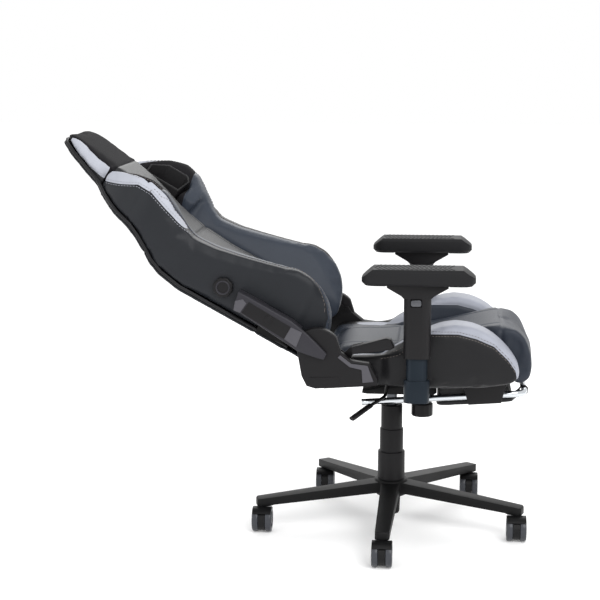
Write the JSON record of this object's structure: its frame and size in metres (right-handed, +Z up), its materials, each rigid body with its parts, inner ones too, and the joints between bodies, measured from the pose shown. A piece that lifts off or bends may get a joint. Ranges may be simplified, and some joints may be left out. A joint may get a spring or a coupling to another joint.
{
  "type": "gaming chair",
  "caption": "Reclining racing-style swivel chair with a winged bucket back, adjustable armrests, a pull-out footrest and a star base on casters.",
  "frame": {"origin": "on the floor under the middle of the chair's bounding box, with the back reclined as stored", "axes": "+X the way the sitter faces, +Y to the sitter's left, +Z up; the gas column stands at x = 0.231 m, y = 0.021 m"},
  "size_m": [1.1526, 0.7109, 0.9866],
  "materials": {
    "base_metal": "satin black powder coat",
    "frame_metal": "black painted steel",
    "steel": "plain ground steel",
    "chrome": "chrome-plated tube",
    "arm_metal": "dark blue-grey satin paint",
    "button_metal": "silver satin button",
    "plastic_black": "fine-grained black plastic",
    "plastic_grey": "satin dark grey plastic",
    "cover_plastic": "satin black telescopic cover",
    "caster_plastic": "black nylon",
    "wheel_pu": "smoky grey polyurethane",
    "armrest_pu": "soft black polyurethane with a ribbed top",
    "leather_black": "blue-black synthetic leather, fine grain",
    "leather_bluegrey": "blue-grey synthetic leather, fine grain",
    "leather_charcoal": "charcoal synthetic leather, fine grain",
    "leather_white": "off-white synthetic leather",
    "leather_lightgrey": "light grey synthetic leather",
    "suede_black": "black microfibre suede",
    "thread": "grey-brown twisted stitching thread"
  },
  "bodies": {
    "base": {"star_base": "base_metal", "gas_cylinder": "base_metal", "cover_lower": "cover_plastic"},
    "caster_1": {"caster_1_hood": "caster_plastic"},
    "caster_1_wheels": {"caster_1_wheel_left": "wheel_pu", "caster_1_wheel_right": "wheel_pu"},
    "caster_2": {"caster_2_hood": "caster_plastic"},
    "caster_2_wheels": {"caster_2_wheel_left": "wheel_pu", "caster_2_wheel_right": "wheel_pu"},
    "caster_3": {"caster_3_hood": "caster_plastic"},
    "caster_3_wheels": {"caster_3_wheel_left": "wheel_pu", "caster_3_wheel_right": "wheel_pu"},
    "caster_4": {"caster_4_hood": "caster_plastic"},
    "caster_4_wheels": {"caster_4_wheel_left": "wheel_pu", "caster_4_wheel_right": "wheel_pu"},
    "caster_5": {"caster_5_hood": "caster_plastic"},
    "caster_5_wheels": {"caster_5_wheel_left": "wheel_pu", "caster_5_wheel_right": "wheel_pu"},
    "lift": {"gas_piston": "steel", "cover_upper": "cover_plastic"},
    "cover_middle": {"cover_middle": "cover_plastic"},
    "mechanism": {"mech_housing": "frame_metal"},
    "tension_knob": {"tension_knob": "plastic_black"},
    "lift_lever": {"lift_lever": "plastic_black"},
    "seat": {"seat_plate": "frame_metal", "seat_pan": "frame_metal", "seat_pad": "leather_charcoal", "seat_bolster_right": "leather_black", "seat_bolster_left": "leather_black", "recliner_bracket_right": "frame_metal", "recliner_bracket_left": "frame_metal", "hinge_cover_right": "plastic_black", "hinge_cover_left": "plastic_black", "footrest_guide_right": "plastic_black", "footrest_guide_left": "plastic_black", "arm_post_right": "arm_metal", "arm_post_left": "arm_metal"},
    "recline_lever": {"recline_lever": "plastic_black"},
    "footrest": {"footrest_frame": "chrome"},
    "footrest_pad": {"footrest_pad": "leather_black"},
    "arm_sleeve_right": {"arm_sleeve_right": "plastic_black"},
    "arm_button_right": {"arm_button_right": "button_metal"},
    "arm_turntable_right": {"arm_turntable_right": "plastic_black"},
    "arm_slide_right": {"arm_slide_right": "steel"},
    "arm_pad_right": {"arm_pad_right": "armrest_pu"},
    "arm_sleeve_left": {"arm_sleeve_left": "plastic_black"},
    "arm_button_left": {"arm_button_left": "button_metal"},
    "arm_turntable_left": {"arm_turntable_left": "plastic_black"},
    "arm_slide_left": {"arm_slide_left": "steel"},
    "arm_pad_left": {"arm_pad_left": "armrest_pu"},
    "back": {"back_shell": "leather_black", "back_frame": "frame_metal", "back_pad": "leather_charcoal", "back_wing_right": "leather_black", "back_wing_left": "leather_black", "harness_trim_right": "plastic_black", "harness_trim_left": "plastic_black", "arm_cover_right": "plastic_grey", "arm_cover_left": "plastic_grey"},
    "lumbar_knob": {"lumbar_knob": "plastic_black"}
  },
  "joints": [
    {"name": "caster_1_swivel", "type": "hinge", "parent": "base", "child": "caster_1", "pos_m": [0.22271, -0.3089, 0.07], "axis": [0, 0, 1], "continuous": true},
    {"name": "caster_1_roll", "type": "hinge", "parent": "caster_1", "child": "caster_1_wheels", "pos_m": [0.22271, -0.3259, 0.03], "axis": [1, 0, 0], "continuous": true},
    {"name": "caster_2_swivel", "type": "hinge", "parent": "base", "child": "caster_2", "pos_m": [0.54219, -0.08883, 0.07], "axis": [0, 0, 1], "continuous": true},
    {"name": "caster_2_roll", "type": "hinge", "parent": "caster_2", "child": "caster_2_wheels", "pos_m": [0.54219, -0.10583, 0.03], "axis": [1, 0, 0], "continuous": true},
    {"name": "caster_3_swivel", "type": "hinge", "parent": "base", "child": "caster_3", "pos_m": [0.43162, 0.28302, 0.07], "axis": [0, 0, 1], "continuous": true},
    {"name": "caster_3_roll", "type": "hinge", "parent": "caster_3", "child": "caster_3_wheels", "pos_m": [0.43162, 0.26602, 0.03], "axis": [1, 0, 0], "continuous": true},
    {"name": "caster_4_swivel", "type": "hinge", "parent": "base", "child": "caster_4", "pos_m": [0.0438, 0.29277, 0.07], "axis": [0, 0, 1], "continuous": true},
    {"name": "caster_4_roll", "type": "hinge", "parent": "caster_4", "child": "caster_4_wheels", "pos_m": [0.0438, 0.27577, 0.03], "axis": [1, 0, 0], "continuous": true},
    {"name": "caster_5_swivel", "type": "hinge", "parent": "base", "child": "caster_5", "pos_m": [-0.08531, -0.07306, 0.07], "axis": [0, 0, 1], "continuous": true},
    {"name": "caster_5_roll", "type": "hinge", "parent": "caster_5", "child": "caster_5_wheels", "pos_m": [-0.08531, -0.09006, 0.03], "axis": [1, 0, 0], "continuous": true},
    {"name": "lift_slide", "type": "slide", "parent": "base", "child": "lift", "axis": [0, 0, 1], "range_m": [-0.08, 0.01]},
    {"name": "cover_middle_slide", "type": "slide", "parent": "base", "child": "cover_middle", "axis": [0, 0, 1], "range_m": [-0.04, 0.005]},
    {"name": "seat_swivel", "type": "hinge", "parent": "lift", "child": "mechanism", "pos_m": [0.231, 0.021, 0.35], "axis": [0, 0, 1], "continuous": true},
    {"name": "seat_tilt", "type": "hinge", "parent": "mechanism", "child": "seat", "pos_m": [0.301, 0.021, 0.372], "axis": [0, -1, 0], "range_deg": [0, 12]},
    {"name": "tension_turn", "type": "hinge", "parent": "mechanism", "child": "tension_knob", "pos_m": [0.307, 0.021, 0.295], "axis": [0, 0, 1], "continuous": true},
    {"name": "lift_lever_pull", "type": "hinge", "parent": "mechanism", "child": "lift_lever", "pos_m": [0.219, -0.041, 0.363], "axis": [0, 1, 0], "range_deg": [0, 10], "stiffness_Nm_per_rad": 1.5},
    {"name": "back_recline", "type": "hinge", "parent": "seat", "child": "back", "pos_m": [0.065, 0.021, 0.492], "axis": [0, 1, 0], "range_deg": [-16, 49]},
    {"name": "recline_lever_pull", "type": "hinge", "parent": "seat", "child": "recline_lever", "pos_m": [0.125, -0.228, 0.47], "axis": [0, -1, 0], "range_deg": [0, 25], "stiffness_Nm_per_rad": 1},
    {"name": "footrest_slide", "type": "slide", "parent": "seat", "child": "footrest", "axis": [0.9971, 0, 0.0767], "range_m": [0, 0.22]},
    {"name": "footrest_flip", "type": "hinge", "parent": "footrest", "child": "footrest_pad", "pos_m": [0.5536, 0.021, 0.3747], "axis": [0, -1, 0], "range_deg": [0, 160]},
    {"name": "lumbar_turn", "type": "hinge", "parent": "back", "child": "lumbar_knob", "pos_m": [-0.1578, -0.229, 0.6378], "axis": [0, -1, 0], "continuous": true},
    {"name": "arm_height_right", "type": "slide", "parent": "seat", "child": "arm_sleeve_right", "axis": [0, 0, 1], "range_m": [-0.045, 0.045]},
    {"name": "arm_button_press_right", "type": "slide", "parent": "arm_sleeve_right", "child": "arm_button_right", "axis": [0, 1, 0], "range_m": [0, 0.003], "stiffness_N_per_m": 400},
    {"name": "arm_turn_right", "type": "hinge", "parent": "arm_sleeve_right", "child": "arm_turntable_right", "pos_m": [0.297, -0.264, 0.658], "axis": [0, 0, 1], "range_deg": [-20, 20]},
    {"name": "arm_side_slide_right", "type": "slide", "parent": "arm_turntable_right", "child": "arm_slide_right", "axis": [0, -1, 0], "range_m": [-0.01, 0.01]},
    {"name": "arm_depth_slide_right", "type": "slide", "parent": "arm_slide_right", "child": "arm_pad_right", "axis": [1, 0, 0], "range_m": [-0.03, 0.025]},
    {"name": "arm_height_left", "type": "slide", "parent": "seat", "child": "arm_sleeve_left", "axis": [0, 0, 1], "range_m": [-0.045, 0.045]},
    {"name": "arm_button_press_left", "type": "slide", "parent": "arm_sleeve_left", "child": "arm_button_left", "axis": [0, -1, 0], "range_m": [0, 0.003], "stiffness_N_per_m": 400},
    {"name": "arm_turn_left", "type": "hinge", "parent": "arm_sleeve_left", "child": "arm_turntable_left", "pos_m": [0.297, 0.306, 0.658], "axis": [0, 0, -1], "range_deg": [-20, 20]},
    {"name": "arm_side_slide_left", "type": "slide", "parent": "arm_turntable_left", "child": "arm_slide_left", "axis": [0, 1, 0], "range_m": [-0.01, 0.01]},
    {"name": "arm_depth_slide_left", "type": "slide", "parent": "arm_slide_left", "child": "arm_pad_left", "axis": [1, 0, 0], "range_m": [-0.03, 0.025]}
  ],
  "couplings": [
    {"joint": "cover_middle_slide", "follows": "lift_slide", "ratio": 0.5}
  ]
}
